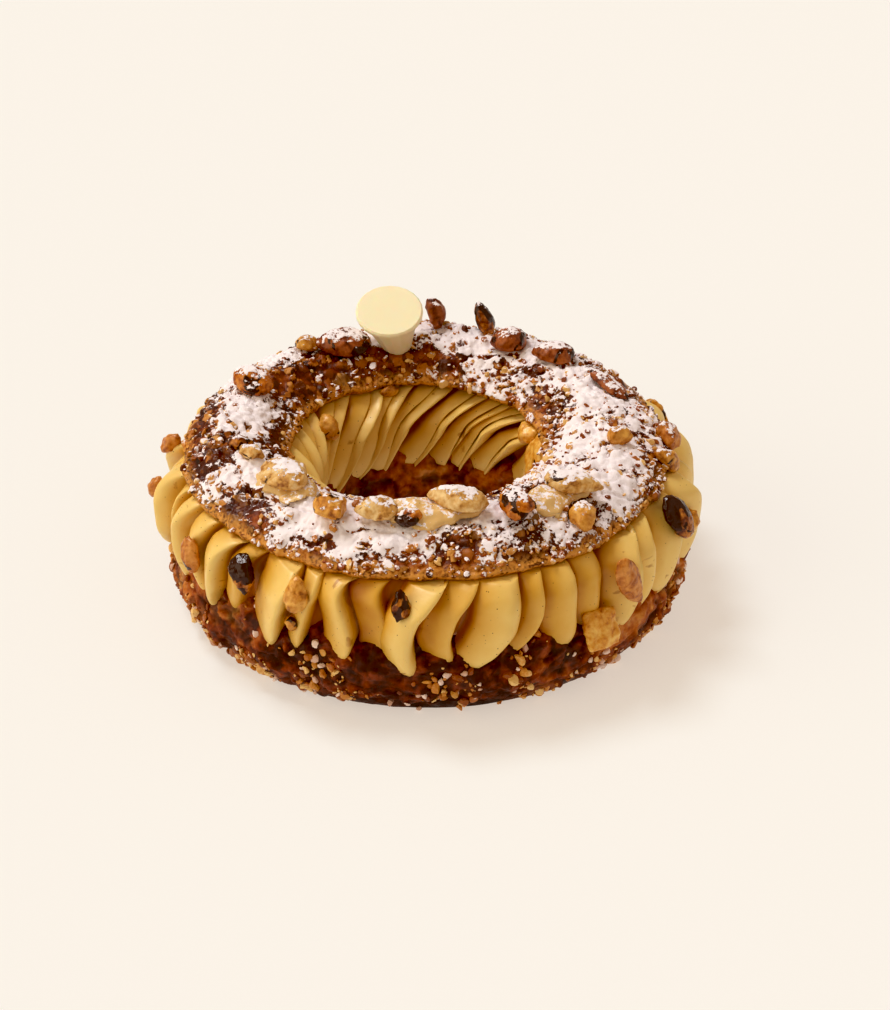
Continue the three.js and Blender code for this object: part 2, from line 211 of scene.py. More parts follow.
def point_attribute(obj, name, values):
    attribute = obj.data.attributes.new(name, "FLOAT", "POINT")
    attribute.data.foreach_set("value", np.asarray(values, np.float32).ravel())


def torus_faces(rows, columns, twist=0):
    """Quads of a grid that closes both ways, with rows around the tube, columns around the ring.

    The last row joins the first one twist columns further on.
    """
    i = np.arange(columns)
    quads = []
    for row in range(rows):
        shift = twist if row == rows - 1 else 0
        here = row * columns
        above = (row + 1) % rows * columns
        corners = [here + i, here + (i + 1) % columns]
        corners += [above + (i + 1 + shift) % columns, above + (i + shift) % columns]
        quads.append(np.stack(corners, 1))
    return np.concatenate(quads).tolist()


def normals_of(points, faces):
    """Point normals of a mesh of quads."""
    quads = np.array(faces)
    across = points[quads[:, 2]] - points[quads[:, 0]]
    along = points[quads[:, 3]] - points[quads[:, 1]]
    face_normals = np.cross(across, along)
    normals = np.zeros_like(points)
    for corner in range(4):
        np.add.at(normals, quads[:, corner], face_normals)
    return normals / np.linalg.norm(normals, axis=1)[:, None]


def grid(us, vs):
    """Coordinates of every point of a grid, row by row."""
    v, u = np.meshgrid(vs, us, indexing="ij")
    return u.ravel(), v.ravel()


def finish_piece(obj, material, slot, *replaced):
    obj.data.materials.clear()
    obj.data.materials.append(material)
    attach(obj, BODY)
    if replaced:
        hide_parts(*replaced)
    return obj


# ------------------------------------------------------------------ choux base


# Heights in mm of what stands out of the base's crust or cuts into it.
BASE_RELIEF = dict(knobs=1.2, folds=0.9, blisters=1.1, wrinkles=0.6, grain=0.3, chunks=0.9)
BASE_SUNK = 1.4  # the crust lies this much inside the smooth shape, to leave room for its relief


def base_surface(u, v):
    """Points of the base; v is the angle around its section, 0 outside and pi / 2 on top."""
    below = np.sin(v) < 0
    roundness = np.where(below, BASE["boxiness"], 1.0)
    swell = 1 + BASE["swell"] * lumps(u, v, 1.3)
    r = RING_RADIUS + BASE["half_width"] * swell * signed_power(np.cos(v), roundness)
    height = np.where(below, BASE["drop"], BASE["rise"])
    z = BASE["equator"] + height * signed_power(np.sin(v), roundness)
    return np.stack([r * np.cos(u), r * np.sin(u), np.clip(z, 0, BASE["cut"])], 1)


def choux_relief(points, u, v):
    """Crust relief in mm: folds that run around the ring, knobs, blisters and a fine grain."""
    bend = 0.8 * fractal(points, 26, 3, 1.0)
    folds = np.abs(np.sin(5 * v + 4 * bend + 3 * np.sin(3 * u)))
    wrinkles = 1 - np.abs(gradient_noise(points / 3.2 * [1, 1, 1.6] + 5.0))
    relief = BASE_RELIEF["knobs"] * fractal(points * [1, 1, 1.5], 15, 3, 9.0)
    relief -= BASE_RELIEF["folds"] * (1 - folds) ** 2
    relief += BASE_RELIEF["blisters"] * smoothstep(0.0, 0.7, gradient_noise(points / 4.6 + 3.0))
    relief += BASE_RELIEF["wrinkles"] * wrinkles**4 - 0.4
    return relief + BASE_RELIEF["grain"] * fractal(points, 2.4, 2, 2.0)


def choux_base():
    """The base as a fine mesh, dense where it shows."""
    outer = np.radians(np.linspace(-62, 52, 76))
    top = np.radians([60, 72, 90, 108, 120])
    inner = np.radians(np.linspace(128, 232, 44))
    under = np.radians([240, 255, 270, 285])
    us = np.linspace(0, TAU, BASE_COLUMNS, endpoint=False)
    vs = np.concatenate([outer, top, inner, under])
    u, v = grid(us, vs)
    smooth = base_surface(u, v)
    faces = torus_faces(len(vs), len(us))
    normals = normals_of(smooth, faces)
    relief = choux_relief(smooth, u, v)
    chunks, _ = embedded(smooth, 5.2, 0.12, 17)
    off_floor = smoothstep(0.5, 4.0, smooth[:, 2])
    height = (relief + BASE_RELIEF["chunks"] * chunks - BASE_SUNK) * off_floor
    points = smooth + normals * height[:, None]
    points[:, 2] = np.clip(points[:, 2], 0, BASE["cut"])
    obj = mesh_object("choux_base_crust", points, faces)
    point_attribute(obj, "relief", relief)
    return obj


# ------------------------------------------------------------------ choux lid


# Heights in mm of what stands out of the lid's crust or cuts into it.
LID_RELIEF = dict(lumps=0.8, furrows=0.8, pits=1.0, nuts=1.5, small_nuts=0.7, sugar=0.5, powder=0.3)
LID_SUNK = 1.4  # as in the base


def lid_surface(u, across, height):
    """Points over the lid; across is 0 at the outer edge and 1 at the hole."""
    outer = LID["outer_radius"] * (1 + 0.012 * lumps(u, 0, 4))
    hole = LID["hole_radius"] * (1 + 0.03 * lumps(u, 1, 6))
    outer_x = LID["shift"] + outer * np.cos(u)
    hole_x = LID["hole_shift"] + hole * np.cos(u)
    x = (1 - across) * outer_x + across * hole_x
    y = (1 - across) * outer * np.sin(u) + across * (LID["hole_back"] + hole * np.sin(u))
    return np.stack([x, y, LID["underside"] + LID["slope"] * y + height], 1)


def lid_top(u, across):
    dome = LID["dome"] * np.sin(math.pi * np.clip(across, 0, 1)) ** 0.8
    return lid_surface(u, across, LID["rim"] + dome * (1 + 0.12 * lumps(u, 3 * across, 9)))


PATCH_LENGTH = 0.28  # half the length of a patch, as a share of the way across the lid
# Angle, place across the lid, half width in degrees, and how bare; below 0 there is more sugar.
SUGAR_PATCHES = [
    (255, 0.25, 26, -0.5),
    (224, 0.35, 16, -0.3),
    (50, 0.6, 22, -0.3),
    (90, 0.3, 24, -0.3),
    (108, 0.85, 24, 1.2),
    (84, 0.95, 12, 0.8),
    (152, 0.62, 14, 1.0),
    (138, 0.9, 10, 0.6),
    (172, 0.35, 10, 0.5),
    (196, 0.55, 10, 1.2),
    (180, 0.85, 8, 0.6),
    (238, 0.6, 7, 0.6),
    (280, 0.25, 6, 0.5),
    (212, 0.2, 8, 0.4),
    (262, 0.72, 8, 0.5),
    (297, 0.5, 8, 0.7),
    (316, 0.3, 7, 0.5),
    (66, 0.35, 7, 0.5),
    (35, 0.3, 7, 0.5),
    (8, 0.35, 6, 0.5),
]


def sugar_cover(points, u, across):
    """How thickly the lid is dusted, 0 to 1: most on its crest, least at its edges."""
    crest = np.exp(-(((across - 0.56) / 0.36) ** 2))
    patches = fractal(points * [1, 1, 0.4], 24, 3, 21.0)
    cover = 0.4 + 0.62 * crest + 1.1 * patches - 0.35 * smoothstep(0.1, 0.02, across)
    for angle, at, wide, bareness in SUGAR_PATCHES:
        turn = (u - math.radians(angle) + math.pi) % TAU - math.pi
        near = (turn / math.radians(wide)) ** 2 + ((across - at) / PATCH_LENGTH) ** 2
        cover -= bareness * np.exp(-near)
    return cover


def ring_noise(u, size, octaves, seed):
    """Noise around the ring only, for its edges."""
    circle = np.stack([RING_RADIUS * np.cos(u), RING_RADIUS * np.sin(u), np.zeros_like(u)], 1)
    return fractal(circle, size, octaves, seed)


def crust_relief(points, u, across, cover):
    """Relief of the lid's top in mm, and what its material needs to know about each point."""
    bend = fractal(points, 20, 2, 31.0)
    furrows = np.abs(np.sin(7 * across + 1.6 * bend + 0.8 * np.sin(2 * u)))
    furrow_cut = smoothstep(0.2, 0.0, furrows)
    pits = smoothstep(0.25, 0.7, gradient_noise(points / 4.2 + 13.0))
    nuts, nut_tone = embedded(points, 4.6, 0.55, 5)
    small_nuts, small_tone = embedded(points, 2.6, 0.6, 90)
    sugar = smoothstep(0.4, 0.75, cover + 0.4 * fractal(points, 2.6, 3, 37.0) - 0.4 * furrow_cut)

    relief = LID_RELIEF["lumps"] * fractal(points, 8, 3, 33.0)
    relief -= LID_RELIEF["furrows"] * furrow_cut + LID_RELIEF["pits"] * pits
    bumpy = LID_RELIEF["nuts"] * nuts + LID_RELIEF["small_nuts"] * small_nuts
    relief += bumpy * (1 - 0.35 * sugar)
    relief += sugar * (LID_RELIEF["sugar"] + LID_RELIEF["powder"] * gradient_noise(points / 1.4))

    dusted = cover - 0.45 * furrow_cut - 0.5 * pits + 0.12 * nuts
    nut_tones = np.where(nuts > 0.3, nut_tone, np.where(small_nuts > 0.4, small_tone, -1))
    return relief, dusted, nut_tones


def ragged_edges(smooth, u, across):
    """How far the lid's edges move sideways and up, in mm, and how near to an edge each point is."""
    edge_outer = smoothstep(0.1, 0.0, across)
    edge_hole = smoothstep(0.9, 1.0, across)
    outward = smooth / np.linalg.norm(smooth[:, :2], axis=1)[:, None] * [1, 1, 0]
    ragged = 0.7 * ring_noise(u, 9, 5, 41.0) + 0.5 * ring_noise(u, 2.5, 2, 47.0)
    moved = outward * (ragged * (edge_outer - edge_hole) - 0.6 * edge_outer)[:, None]
    moved[:, 2] += (edge_outer + edge_hole) * (0.5 * ring_noise(u, 12, 3, 43.0) + 0.3)
    return moved, np.maximum(edge_outer, edge_hole)


def choux_lid():
    """The lid as a fine mesh: ragged thin edges, furrows, embedded nuts and powdered sugar."""
    top = np.concatenate([np.linspace(0, 0.06, 7), np.linspace(0.07, 0.93, 74), np.linspace(0.94, 1, 7)])
    under = np.array([0.985, 0.9, 0.5, 0.1, 0.015])
    us = np.linspace(0, TAU, LID_COLUMNS, endpoint=False)
    u, across = grid(us, np.concatenate([top, under]))
    is_top = np.repeat([True, False], [len(top) * len(us), len(under) * len(us)])
    smooth = np.where(is_top[:, None], lid_top(u, across), lid_surface(u, across, 0.25))
    faces = torus_faces(len(top) + len(under), len(us))
    normals = normals_of(smooth, faces)

    relief, dusted, nut_tones = crust_relief(smooth, u, across, sugar_cover(smooth, u, across))
    inside = np.sin(math.pi * np.clip(across, 0, 1)) ** 0.3
    moved, edge = ragged_edges(smooth, u, across)
    points = smooth + normals * (np.where(is_top, (relief - LID_SUNK) * inside, 0))[:, None] + moved
    obj = mesh_object("choux_lid_crust", points, faces)
    point_attribute(obj, "sugar", np.where(is_top, dusted, -1))
    point_attribute(obj, "chunk", nut_tones)
    point_attribute(obj, "edge", edge)
    return obj


# ------------------------------------------------------------------ praline cream


MAIN_SHARE = 0.56  # how much of a loop its main rib takes, on average


def loop_size(loop):
    """No two loops are piped quite alike; these match the CAD model's loops."""
    return 1 + 0.16 * np.sin(2.4 * loop) + 0.1 * np.sin(5.1 * loop + 1)


def loop_drift(loop):
    return 0.05 * np.sin(1.7 * loop + 0.5)


def slant(v):
    """How far a strand has turned around the ring when it is at v around the tube."""
    return CREAM["turns"] / CREAM["loops"] * v - CREAM["swing"] * np.sin(v)


def rib(t, crest, flatness, blunt):
    """Height across one rib, 0 at both sides and 1 at the crest.

    flatness makes its two faces plane, and a small blunt makes its top broad.
    """
    t = np.clip(t, 0, 1)
    warp = math.log(0.5) / np.log(crest)
    rounded = np.sin(math.pi * t**warp) ** blunt
    plane = np.where(t < crest, t / crest, (1 - t) / (1 - crest)) ** 0.75
    return (1 - flatness) * rounded + flatness * plane


def creases(phase, share):
    """Narrow folds on both sides of every rib, 0 to 1."""
    between_loops = np.minimum(phase, 1 - phase)
    return np.exp(-((between_loops / 0.03) ** 2)) + np.exp(-(((phase - share) / 0.03) ** 2))


def cream_surface(loop, phase, v):
    """Points of the piped cream, and how high on a rib they are, 0 in a crease and 1 on a crest.

    Each loop has a main rib, and a lower one beside it.

    On the outer wall both ribs rise slowly and end in a steep overhang. On the inner wall the
    second one is a broad petal, whose sharp edge lies over the loop before it.
    """
    inner = smoothstep(0.15, -0.45, np.cos(v))
    low_down = smoothstep(0.35, -0.75, np.sin(v))
    share = MAIN_SHARE + 0.08 * np.sin(1.9 * loop + 0.7) + 0.03 * np.sin(1.4 * v + 2.3 * loop)
    share = share - inner * (0.1 + 0.2 * low_down)
    is_main = phase < share
    t = np.where(is_main, phase / share, (phase - share) / (1 - share))

    foot, peak = rib_ends(loop, t, is_main, inner, low_down)
    shape = rib_shape(loop, t, is_main, inner)
    height = foot + (peak - foot) * shape - 0.4 * creases(phase, share)

    hang = foot + (peak**0.6 - foot) * np.sin(math.pi * t) ** (0.42 - 0.1 * inner)
    below = np.sin(v) < 0
    reach = np.where(below, CREAM["drop"] + CREAM["tongue"] * hang, CREAM["rise"])
    half_width = CREAM["half_width"] + CREAM["ridge"] * height
    r = CREAM["middle_radius"] + half_width * signed_power(np.cos(v), np.where(below, 0.45, 0.8))
    z = CREAM["middle"] + reach * signed_power(np.sin(v), np.where(below, 0.9, 0.8))

    # Ribs lean over the crease beside them, and wander a little on their way.
    sideways = np.where(is_main, 0.2, -2.0 - 2.5 * low_down)
    lean = np.maximum(height, 0) ** 1.6 * (2.1 * (1 - inner) + sideways * inner) / r
    wander = 0.03 * np.sin(2.1 * v + 1.9 * loop) + 0.012 * np.sin(4.3 * v + 3.1 * loop)
    u = (loop + phase - 0.02 + loop_drift(loop)) / CREAM["loops"] * TAU + slant(v) + lean + wander
    u = u + swept(u, v)
    points = np.stack([r * np.cos(u), r * np.sin(u), z], 1)
    ceiling = LID["underside"] + LID["slope"] * points[:, 1] - 0.1
    points[:, 2] = np.minimum(points[:, 2], ceiling)
    return points, height


def rib_shape(loop, t, is_main, inner):
    """Height across a rib of a loop, 0 to 1; t is 0 and 1 at its sides."""
    crest_out = 0.7 + 0.1 * np.sin(1.3 * loop + 2 * is_main)
    crest_in = np.where(is_main, 0.42, 0.2)
    crest = crest_out + (crest_in - crest_out) * inner
    blunt = 0.55 - 0.2 * inner * ~is_main
    return rib(t, crest, 0.3 - 0.15 * inner, blunt)


def rib_ends(loop, t, is_main, inner, low_down):
    """Heights of a rib's foot and of its crest."""
    second = 0.6 + 0.22 * np.sin(3.7 * loop)
    second = second + inner * (0.5 + 0.3 * low_down - second)
    foot = 0.1 * np.where(is_main, t, 1 - t) ** 2
    return foot, np.where(is_main, loop_size(loop) * (1 - 0.15 * inner), second)


PIPING_END = 0.75  # angle around the ring, back right


def swept(u, v):
    """How much further the ribs lean on the inner wall, most near PIPING_END."""
    turn = (u - PIPING_END + math.pi) % TAU - math.pi
    down = smoothstep(math.radians(120), math.radians(225), v) * smoothstep(TAU * 0.72, TAU * 0.65, v)
    return down * (0.2 + 0.2 * np.exp(-((turn / 0.42) ** 2)))


def praline_cream():
    """The cream as a fine mesh, whose columns bunch up at the creases."""
    even = np.arange(RIB_STEPS) / RIB_STEPS
    bunched = 0.45 * even + 0.55 * (0.5 - 0.5 * np.cos(math.pi * even))
    phases = np.concatenate([MAIN_SHARE * bunched, MAIN_SHARE + (1 - MAIN_SHARE) * bunched])
    outer = np.radians(np.linspace(-62, 58, 64))
    inner = np.radians(np.linspace(122, 242, 60))
    top, under = np.radians([76, 104]), np.radians([251, 262])
    vs = np.concatenate([np.radians([-80, -70]), outer, top, inner, under])
    columns = np.arange(CREAM["loops"] * len(phases))
    column, v = grid(columns, vs)
    loop = column // len(phases)
    phase = phases[column % len(phases)]
    points, height = cream_surface(loop, phase, v)
    faces = torus_faces(len(vs), len(columns), CREAM["turns"] * len(phases))
    normals = normals_of(points, faces)
    points = points + normals * (0.22 * fractal(points, 8, 3, 51.0))[:, None]
    obj = mesh_object("piped_cream", points, faces)
    # Painted light: the crests are paler on the inner wall, and so is the cream at the ring's left and
    # right.
    inside = smoothstep(0.1, -0.5, np.cos(v))
    lit_ends = smoothstep(45, 85, np.abs(points[:, 0]))
    point_attribute(obj, "height", height * (1 + 0.5 * inside) + 0.3 * lit_ends)
    return obj


# ------------------------------------------------------------------ nuts, dabs and disc


def refined(node, bumps, smoothing, seed=0.0):
    """A finer copy of a CAD piece: rounded facets, then relief of the given (size, height) in mm."""
    source = frame["nodes"][node]
    obj = source.copy()
    obj.data = source.data.copy()
    obj.name = f"{node}_piece"
    obj.parent = None
    obj.hide_render = obj.hide_viewport = False
    bpy.context.scene.collection.objects.link(obj)
    remesh = obj.modifiers.new("remesh", "REMESH")
    remesh.mode = "VOXEL"
    remesh.voxel_size = NUT_VOXEL * MM
    smooth = obj.modifiers.new("smooth", "SMOOTH")
    smooth.factor = 0.5
    smooth.iterations = smoothing
    evaluated = obj.evaluated_get(bpy.context.evaluated_depsgraph_get())
    mesh = bpy.data.meshes.new_from_object(evaluated)
    obj.modifiers.clear()
    obj.data = mesh
    points, normals = points_and_normals(mesh)
    relief = sum(height * fractal(points, size, 2, seed + size) for size, height in bumps)
    points = points + normals * relief[:, None]
    mesh.vertices.foreach_set("co", (points * MM).astype(np.float32).ravel())
    mesh.polygons.foreach_set("use_smooth", [True] * len(mesh.polygons))
    mesh.update()
    return obj


def surface_tree(obj):
    """The object's surface, ready for finding the nearest point on it."""
    mesh = obj.data
    return BVHTree.FromPolygons([v.co for v in mesh.vertices], [p.vertices for p in mesh.polygons])


SETTLE_REACH = 5.0  # how far from a surface a nut may start, in mm
SETTLE_DEPTH = 1.2  # how deep a nut is pressed in at least, in mm


def settle(obj, trees):
    """Press a nut into the nearest surface, where the CAD's surface only touched it.

    Every seventh point of the nut is enough to find where it is nearest.
    """
    nearest, toward = SETTLE_REACH * MM, Vector((0, 0, 0))
    for vertex in list(obj.data.vertices)[::7]:
        for tree in trees:
            hit, normal, _, distance = tree.find_nearest(vertex.co, SETTLE_REACH * MM)
            if hit is None:
                continue
            outside = math.copysign(distance, (vertex.co - hit).dot(normal))
            if outside < nearest:
                nearest, toward = outside, -normal
    press = max(0.0, nearest + SETTLE_DEPTH * MM)
    obj.data.transform(Matrix.Translation(toward * press))


# ------------------------------------------------------------------ scattered bits


BIT_SHAPES = 9  # different shapes in each kind of bit
BIT_CUTS = 7  # flat facets on each shape
BIT_LIFT = 0.02  # how far the middle of a bit is above the surface, as a share of its size
CRUMB = 2.5  # bits up to this many mm are simpler in shape


def bit_shapes(detail, dice):
    """Unit lumps with flat facets, as chopped nuts have: their points, and triangles for all."""
    ball = bmesh.new()
    bmesh.ops.create_icosphere(ball, subdivisions=detail, radius=1)
    round_points = np.array([v.co[:] for v in ball.verts])
    triangles = np.array([[v.index for v in f.verts] for f in ball.faces])
    ball.free()
    shapes = []
    for _ in range(BIT_SHAPES):
        points = round_points.copy()
        for _ in range(BIT_CUTS):
            normal = dice.normal(size=3)
            normal /= np.linalg.norm(normal)
            beyond = points @ normal - dice.uniform(0.45, 0.8)
            points -= np.maximum(beyond, 0)[:, None] * normal
        shapes.append(points / np.abs(points).max())
    return shapes, triangles


def rotations(normals, dice):
    """A turned frame on each normal, tilted a little at random."""
    tilted = normals + dice.normal(scale=0.45, size=normals.shape)
    up = tilted / np.linalg.norm(tilted, axis=1)[:, None]
    side = np.cross(up, dice.normal(size=up.shape))
    side /= np.linalg.norm(side, axis=1)[:, None]
    return np.stack([side, np.cross(up, side), up], 2)


def scatter(name, points, normals, sizes, seed):
    """Bits of the given sizes in mm as one mesh, each half sunk into the surface."""
    dice = np.random.default_rng(seed)
    shapes, triangles = bit_shapes(2 if max(sizes) > CRUMB else 1, dice)
    frames = rotations(normals, dice)
    stretch = dice.uniform([0.75, 0.6, 0.4], [1.15, 0.9, 0.75], size=(len(points), 3))
    all_points, all_faces, tones = [], [], []
    for i, (place, size) in enumerate(zip(points, sizes)):
        shape = shapes[dice.integers(len(shapes))] * stretch[i] * size / 2
        all_faces.append(triangles + i * len(shape))
        all_points.append(shape @ frames[i].T + place + normals[i] * size * BIT_LIFT)
        tones.append(np.full(len(shape), dice.uniform()))
    placed = np.concatenate(all_points)
    placed[:, 2] = np.maximum(placed[:, 2], 0.02)
    obj = mesh_object(name, placed, np.concatenate(all_faces).tolist(), smooth=False)
    point_attribute(obj, "tone", np.concatenate(tones))
    return obj


def surface_samples(obj, weight, count, seed):
    """Random places on an object's mesh: points in mm about the axis, and normals."""
    points, normals = points_and_normals(obj.data)
    points = points - AXIS
    share = np.maximum(weight(points, normals), 0)
    pick = np.random.default_rng(seed).choice(len(points), count, replace=False, p=share / share.sum())
    return points[pick], normals[pick]


# ------------------------------------------------------------------ materials


def colour(code):
    """A linear colour from a six-digit sRGB code."""
    channels = [int(code[i : i + 2], 16) / 255 for i in (0, 2, 4)]
    linear = [c / 12.92 if c <= 0.04045 else ((c + 0.055) / 1.055) ** 2.4 for c in channels]
    return (*linear, 1.0)


class Shader:
    """A material's nodes, with short calls for the kinds used here. Sizes are in mm."""

    def __init__(self, name, **sockets):
        self.material = bpy.data.materials.new(name)
        self.material.use_nodes = True
        self.tree = self.material.node_tree
        self.bsdf = self.tree.nodes["Principled BSDF"]
        self.place = self.tree.nodes.new("ShaderNodeTexCoord").outputs["Object"]
        for socket, value in sockets.items():
            self.bsdf.inputs[socket.replace("_", " ")].default_value = value

    def new(self, kind, values=(), **settings):
        node = self.tree.nodes.new("ShaderNode" + kind)
        for name, setting in settings.items():
            setattr(node, name, setting)
        for key, value in dict(values).items():
            if isinstance(value, bpy.types.NodeSocket):
                self.tree.links.new(value, node.inputs[key])
            else:
                node.inputs[key].default_value = value
        return node

    def link(self, value, socket):
        self.tree.links.new(value, self.bsdf.inputs[socket])

    def noise(self, size, detail, distortion=0.0):
        values = {"Vector": self.place, "Scale": 1 / (size * MM), "Detail": detail}
        return self.new("TexNoise", {**values, "Distortion": distortion}).outputs["Fac"]

    def cells(self, size):
        values = {"Vector": self.place, "Scale": 1 / (size * MM)}
        return self.new("TexVoronoi", values).outputs["Distance"]

    def calc(self, operation, *values):
        return self.new("Math", dict(enumerate(values)), operation=operation).outputs[0]

    def step(self, value, low, high):
        """0 below low and 1 above high, smooth between; the other way round if low is above high."""
        values = {0: value, 1: low, 2: high}
        return self.new("MapRange", values, interpolation_type="SMOOTHSTEP").outputs[0]

    def mix(self, factor, first, second):
        values = {0: factor, 6: first, 7: second}
        return self.new("Mix", values, data_type="RGBA").outputs[2]

    def ramp(self, factor, *stops):
        """Colours along the factor: pairs of place and colour."""
        node = self.new("ValToRGB", {0: factor})
        elements = node.color_ramp.elements
        while len(elements) < len(stops):
            elements.new(0.5)
        for element, (position, code) in zip(elements, stops):
            element.position = position
            element.color = colour(code)
        return node.outputs[0]

    def attribute(self, name):
        return self.new("Attribute", attribute_name=name).outputs["Fac"]

    def facing_up(self):
        normal = self.new("NewGeometry").outputs["Normal"]
        return self.new("SeparateXYZ", {0: normal}).outputs["Z"]

    def axis(self, letter):
        return self.new("SeparateXYZ", {0: self.place}).outputs[letter]

    def bump(self, height, distance, strength=1.0, under=None):
        values = {"Height": height, "Distance": distance * MM, "Strength": strength}
        if under is not None:
            values["Normal"] = under
        return self.new("Bump", values).outputs["Normal"]


SUGAR = colour("F8F1F5")
FLOOR_GLOW = 0.6  # how much of the floor's light is its own


def sugar_over(shader, base_colour, cover):
    """Powdered sugar where cover, plus fine noise, is over a half; returns how much of it shows."""
    powder = shader.noise(0.9, 3)
    pits = shader.noise(2.4, 4)
    level = shader.calc("ADD", cover, shader.calc("MULTIPLY_ADD", powder, 1.3, -0.65))
    level = shader.calc("ADD", level, shader.calc("MULTIPLY_ADD", pits, 1.5, -0.75))
    shown = shader.step(level, 0.43, 0.6)
    shader.link(shader.mix(shown, base_colour, SUGAR), "Base Color")
    return shown


def chunk_colour(shader, crust):
    """Embedded nuts in their own colours; the attribute is their tone, and -1 on bare crust."""
    tone = shader.attribute("chunk")
    nuts = shader.ramp(tone, (0.1, "4C1D08"), (0.45, "924C1A"), (0.75, "C07C36"), (1.0, "E0AC62"))
    return shader.mix(shader.step(tone, -0.3, 0.1), crust, nuts)


def choux_material():
    """Caramelised crust, with painted shade in front, below and in its hollows, and painted light at the
    left.
    """
    shader = Shader("choux_crust", Specular_IOR_Level=0.4)
    patches = shader.noise(13, 4, distortion=0.8)
    spots = shader.noise(3.2, 4)
    level = shader.calc("MULTIPLY_ADD", spots, 0.7, shader.calc("MULTIPLY_ADD", patches, 1.0, -0.4))
    # Painted shade: the front of the base is made darker.
    front = shader.calc(
        "MULTIPLY",
        shader.step(shader.axis("Y"), -0.03, -0.085),
        shader.step(shader.axis("X"), 0.07, 0.02),
    )
    level = shader.calc("MULTIPLY_ADD", front, -0.19, level)
    # Painted light: the left of the base is made lighter.
    level = shader.calc("MULTIPLY_ADD", shader.step(shader.axis("X"), -0.035, -0.08), 0.12, level)
    tone = shader.ramp(level, (0.2, "481606"), (0.4, "8E3E12"), (0.58, "BA6C2C"), (0.78, "DA9E58"))
    # Painted shade in the hollows of the relief.
    low = shader.step(shader.attribute("relief"), 0.3, -1.4)
    tone = shader.mix(shader.calc("MULTIPLY", low, 0.75), tone, colour("2A0A03"))
    # Painted shade below 11 mm, where the base curves under towards the floor.
    burnt = shader.calc("MULTIPLY", shader.step(shader.axis("Z"), 0.011, 0.0), 0.7)
    tone = shader.mix(burnt, tone, colour("240C05"))
    shader.link(tone, "Base Color")
    fine = shader.bump(shader.noise(0.8, 3), 0.2, 0.6)
    shader.link(shader.bump(shader.noise(2.6, 4), 0.6, 0.7, fine), "Normal")
    shader.link(shader.step(shader.noise(5, 3), 0.0, 0.85), "Roughness")
    return shader.material


def lid_material():
    """Browned crust with nuts and glossy patches of caramel in it, under powdered sugar."""
    shader = Shader("sugared_crust", Specular_IOR_Level=0.4)
    patches = shader.noise(12, 4, distortion=0.6)
    spots = shader.noise(2.6, 4)
    level = shader.calc("MULTIPLY_ADD", spots, 0.7, shader.calc("MULTIPLY_ADD", patches, 0.9, -0.32))
    level = shader.calc("MULTIPLY_ADD", shader.step(shader.axis("X"), -0.02, -0.06), -0.12, level)
    tone = shader.ramp(level, (0.25, "300D05"), (0.45, "702C0C"), (0.62, "9E501A"), (0.8, "D0944A"))
    tone = chunk_colour(shader, tone)
    caramel = shader.step(shader.noise(15, 3, distortion=0.9), 0.55, 0.61)
    tone = shader.mix(shader.calc("MULTIPLY", caramel, 0.7), tone, colour("4A1709"))
    flecks = shader.step(shader.noise(1.3, 3), 0.3, 0.6)
    edge = shader.calc("MULTIPLY", shader.attribute("edge"), flecks)
    tone = shader.mix(shader.calc("MULTIPLY", edge, 0.9), tone, colour("E2A452"))
    up = shader.calc("MULTIPLY_ADD", shader.facing_up(), 0.9, -0.66)
    up = shader.calc("MULTIPLY_ADD", caramel, -0.22, up)
    shown = sugar_over(shader, tone, shader.calc("ADD", shader.attribute("sugar"), up))
    glossy = shader.calc("MULTIPLY_ADD", caramel, -0.16, 0.42)
    shader.link(shader.calc("MULTIPLY_ADD", shown, 0.5, glossy), "Roughness")
    powder = shader.bump(shader.noise(0.55, 3), 0.3, 0.7)
    shader.link(shader.bump(shown, 0.45, 0.8, powder), "Normal")
    return shader.material


def cream_material(name, crest, flank, crease, stain, dust=-1.0):
    """Smooth cream with painted shade in its creases and painted light on its crests; dust is how much
    sugar lies on it.
    """
    shader = Shader(name, Roughness=0.38, Subsurface_Weight=0.1, Subsurface_Scale=0.0015)
    shader.bsdf.inputs["Subsurface Radius"].default_value = (1.0, 0.6, 0.25)
    uneven = shader.calc("MULTIPLY_ADD", shader.noise(11, 3), 0.6, -0.3)
    height = shader.calc("ADD", shader.attribute("height"), uneven)
    # Painted shade at the crease end of this ramp, painted light at its crest end.
    tone = shader.ramp(height, (0.0, crease), (0.4, flank), (1.0, crest))
    smear = shader.step(shader.noise(7, 4, distortion=1.0), 0.66, 0.74)
    tone = shader.mix(shader.calc("MULTIPLY", smear, 0.6), tone, colour(stain))
    specks = shader.step(shader.cells(1.9), 0.13, 0.06)
    few = shader.step(shader.noise(5.0, 2), 0.44, 0.54)
    tone = shader.mix(shader.calc("MULTIPLY", specks, few), tone, colour("6E4318"))
    sugar_over(shader, tone, shader.calc("MULTIPLY_ADD", shader.facing_up(), 0.75, dust - 0.62))
    fine = shader.bump(shader.noise(0.8, 3), 0.08, 0.5)
    shader.link(shader.bump(shader.noise(3.5, 3), 0.15, 0.5, fine), "Normal")
    return shader.material


